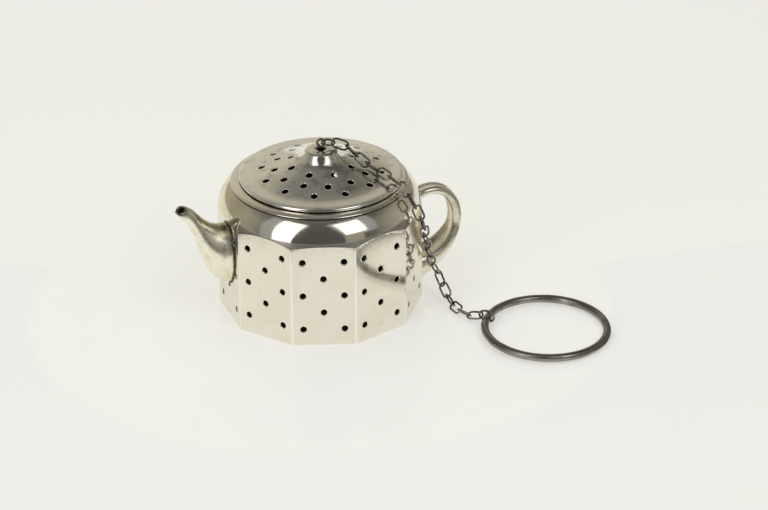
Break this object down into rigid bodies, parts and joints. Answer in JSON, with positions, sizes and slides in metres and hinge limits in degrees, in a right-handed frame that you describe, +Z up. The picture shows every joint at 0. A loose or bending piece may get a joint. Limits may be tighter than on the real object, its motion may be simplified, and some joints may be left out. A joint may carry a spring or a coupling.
{
  "type": "tea infuser",
  "caption": "Teapot-shaped silver tea infuser: pierced ten-sided pot with spout and handle, pierced lift-off lid with knob, link chain and hanging ring.",
  "frame": {"origin": "middle of the flat base that the pot stands on", "axes": "+Z up through the lid's knob, -X towards the spout, +X towards the handle; the chain and ring lie towards +X -Y"},
  "size_m": [0.0779, 0.062, 0.0351],
  "materials": {
    "polished_silver": "polished, finely scratched",
    "warm_silver": "satin polish with a yellowish tarnish",
    "tarnished_silver": "polished with a light purple-grey tarnish",
    "dark_silver": "oxidised wire"
  },
  "bodies": {
    "pot": {"body_shell": "polished_silver", "base_plate": "polished_silver", "neck_ring": "polished_silver", "spout": "warm_silver", "handle": "warm_silver"},
    "lid": {"lid": "tarnished_silver", "lid_skirt": "polished_silver", "lid_knob": "tarnished_silver", "knob_eye": "dark_silver"},
    "eye_ring": {"eye_ring": "dark_silver"},
    "chain_link_01": {"chain_link_01": "dark_silver"},
    "chain_link_02": {"chain_link_02": "dark_silver"},
    "chain_link_03": {"chain_link_03": "dark_silver"},
    "chain_link_04": {"chain_link_04": "dark_silver"},
    "chain_link_05": {"chain_link_05": "dark_silver"},
    "chain_link_06": {"chain_link_06": "dark_silver"},
    "chain_link_07": {"chain_link_07": "dark_silver"},
    "chain_link_08": {"chain_link_08": "dark_silver"},
    "chain_link_09": {"chain_link_09": "dark_silver"},
    "chain_link_10": {"chain_link_10": "dark_silver"},
    "chain_link_11": {"chain_link_11": "dark_silver"},
    "chain_link_12": {"chain_link_12": "dark_silver"},
    "chain_link_13": {"chain_link_13": "dark_silver"},
    "chain_link_14": {"chain_link_14": "dark_silver"},
    "chain_link_15": {"chain_link_15": "dark_silver"},
    "chain_link_16": {"chain_link_16": "dark_silver"},
    "chain_link_17": {"chain_link_17": "dark_silver"},
    "chain_link_18": {"chain_link_18": "dark_silver"},
    "chain_link_19": {"chain_link_19": "dark_silver"},
    "chain_link_20": {"chain_link_20": "dark_silver"},
    "chain_link_21": {"chain_link_21": "dark_silver"},
    "chain_link_22": {"chain_link_22": "dark_silver"},
    "ring_jump": {"ring_jump": "dark_silver"},
    "hang_ring": {"hang_ring": "dark_silver"}
  },
  "joints": [
    {"name": "lid_lift", "type": "slide", "parent": "pot", "child": "lid", "axis": [0, 0, 1], "range_m": [0, 0.025]},
    {"name": "eye_ring_turn", "type": "hinge", "parent": "lid", "child": "eye_ring", "pos_m": [0.00092, 0.00001, 0.0342], "axis": [0, 0, 1], "range_deg": [-35, 0]},
    {"name": "link_01_swing", "type": "hinge", "parent": "eye_ring", "child": "chain_link_01", "pos_m": [0.00283, -0.00051, 0.03408], "axis": [-0.2588, -0.9659, 0], "range_deg": [0, 40]},
    {"name": "link_02_swing", "type": "hinge", "parent": "chain_link_01", "child": "chain_link_02", "pos_m": [0.00523, -0.00162, 0.03338], "axis": [0.4114, 0.3603, 0.8372], "range_deg": [-40, 0]},
    {"name": "link_03_swing", "type": "hinge", "parent": "chain_link_02", "child": "chain_link_03", "pos_m": [0.00681, -0.00281, 0.0315], "axis": [0.1356, 0.8842, -0.4471], "range_deg": [-40, 0]},
    {"name": "link_04_swing", "type": "hinge", "parent": "chain_link_03", "child": "chain_link_04", "pos_m": [0.0083, -0.00475, 0.03026], "axis": [-0.7561, -0.1753, -0.6305], "range_deg": [0, 38]},
    {"name": "link_05_swing", "type": "hinge", "parent": "chain_link_04", "child": "chain_link_05", "pos_m": [0.00974, -0.00698, 0.0296], "axis": [-0.4989, -0.5298, 0.6859], "range_deg": [0, 40]},
    {"name": "link_06_swing", "type": "hinge", "parent": "chain_link_05", "child": "chain_link_06", "pos_m": [0.01107, -0.00933, 0.02919], "axis": [0.6773, 0.2617, 0.6876], "range_deg": [-40, 0]},
    {"name": "link_07_swing", "type": "hinge", "parent": "chain_link_06", "child": "chain_link_07", "pos_m": [0.0124, -0.0116, 0.02843], "axis": [-0.474, -0.5163, 0.7132], "range_deg": [0, 40]},
    {"name": "link_08_swing", "type": "hinge", "parent": "chain_link_07", "child": "chain_link_08", "pos_m": [0.01349, -0.01341, 0.02669], "axis": [-0.8903, -0.1118, -0.4415], "range_deg": [0, 40]},
    {"name": "link_09_swing", "type": "hinge", "parent": "chain_link_08", "child": "chain_link_09", "pos_m": [0.01446, -0.0145, 0.02437], "axis": [-0.0662, -0.9134, 0.4016], "range_deg": [0, 40]},
    {"name": "link_10_swing", "type": "hinge", "parent": "chain_link_09", "child": "chain_link_10", "pos_m": [0.01551, -0.0149, 0.02188], "axis": [-0.9215, -0.0039, -0.3884], "range_deg": [0, 40]},
    {"name": "link_11_swing", "type": "hinge", "parent": "chain_link_10", "child": "chain_link_11", "pos_m": [0.01633, -0.01415, 0.01938], "axis": [-0.0785, 0.9622, 0.2608], "range_deg": [-40, 0]},
    {"name": "link_12_swing", "type": "hinge", "parent": "chain_link_11", "child": "chain_link_12", "pos_m": [0.01706, -0.01296, 0.01703], "axis": [0.9469, 0.0469, 0.3181], "range_deg": [-40, 0]},
    {"name": "link_13_swing", "type": "hinge", "parent": "chain_link_12", "child": "chain_link_13", "pos_m": [0.01776, -0.01154, 0.0148], "axis": [0.2639, -0.8487, -0.4584], "range_deg": [0, 40]},
    {"name": "link_14_swing", "type": "hinge", "parent": "chain_link_13", "child": "chain_link_14", "pos_m": [0.0186, -0.01022, 0.01256], "axis": [0.9021, 0.1304, 0.4114], "range_deg": [-40, 0]},
    {"name": "link_15_swing", "type": "hinge", "parent": "chain_link_14", "child": "chain_link_15", "pos_m": [0.01951, -0.00906, 0.01027], "axis": [0.3397, -0.886, -0.3157], "range_deg": [0, 40]},
    {"name": "link_16_swing", "type": "hinge", "parent": "chain_link_15", "child": "chain_link_16", "pos_m": [0.02049, -0.00814, 0.00788], "axis": [-0.8601, -0.2452, -0.4473], "range_deg": [0, 40]},
    {"name": "link_17_swing", "type": "hinge", "parent": "chain_link_16", "child": "chain_link_17", "pos_m": [0.02163, -0.00756, 0.00546], "axis": [-0.3704, 0.9276, 0.0484], "range_deg": [-40, 0]},
    {"name": "link_18_swing", "type": "hinge", "parent": "chain_link_17", "child": "chain_link_18", "pos_m": [0.02247, -0.00841, 0.00301], "axis": [0.8237, 0.56, 0.0888], "range_deg": [-26, 0]},
    {"name": "link_19_swing", "type": "hinge", "parent": "chain_link_18", "child": "chain_link_19", "pos_m": [0.02262, -0.0107, 0.00153], "axis": [0.6888, -0.3617, 0.6283], "range_deg": [0, 40]},
    {"name": "link_20_swing", "type": "hinge", "parent": "chain_link_19", "child": "chain_link_20", "pos_m": [0.02262, -0.01338, 0.00096], "axis": [0.7079, 0.1461, -0.691], "range_deg": [-40, 0]},
    {"name": "link_21_swing", "type": "hinge", "parent": "chain_link_20", "child": "chain_link_21", "pos_m": [0.02297, -0.01609, 0.00091], "axis": [-0.7029, -0.078, -0.707], "range_deg": [-40, 0]},
    {"name": "link_22_swing", "type": "hinge", "parent": "chain_link_21", "child": "chain_link_22", "pos_m": [0.02402, -0.01862, 0.00099], "axis": [0.6618, 0.25, -0.7068], "range_deg": [-22, 0]},
    {"name": "ring_jump_swing", "type": "hinge", "parent": "chain_link_22", "child": "ring_jump", "pos_m": [0.02568, -0.02073, 0.00148], "axis": [0.6658, 0.6207, 0.414], "range_deg": [0, 40]},
    {"name": "hang_ring_swing", "type": "hinge", "parent": "ring_jump", "child": "hang_ring", "pos_m": [0.02676, -0.02163, 0.00146], "axis": [-0.6468, -0.7627, 0], "range_deg": [0, 110]}
  ]
}
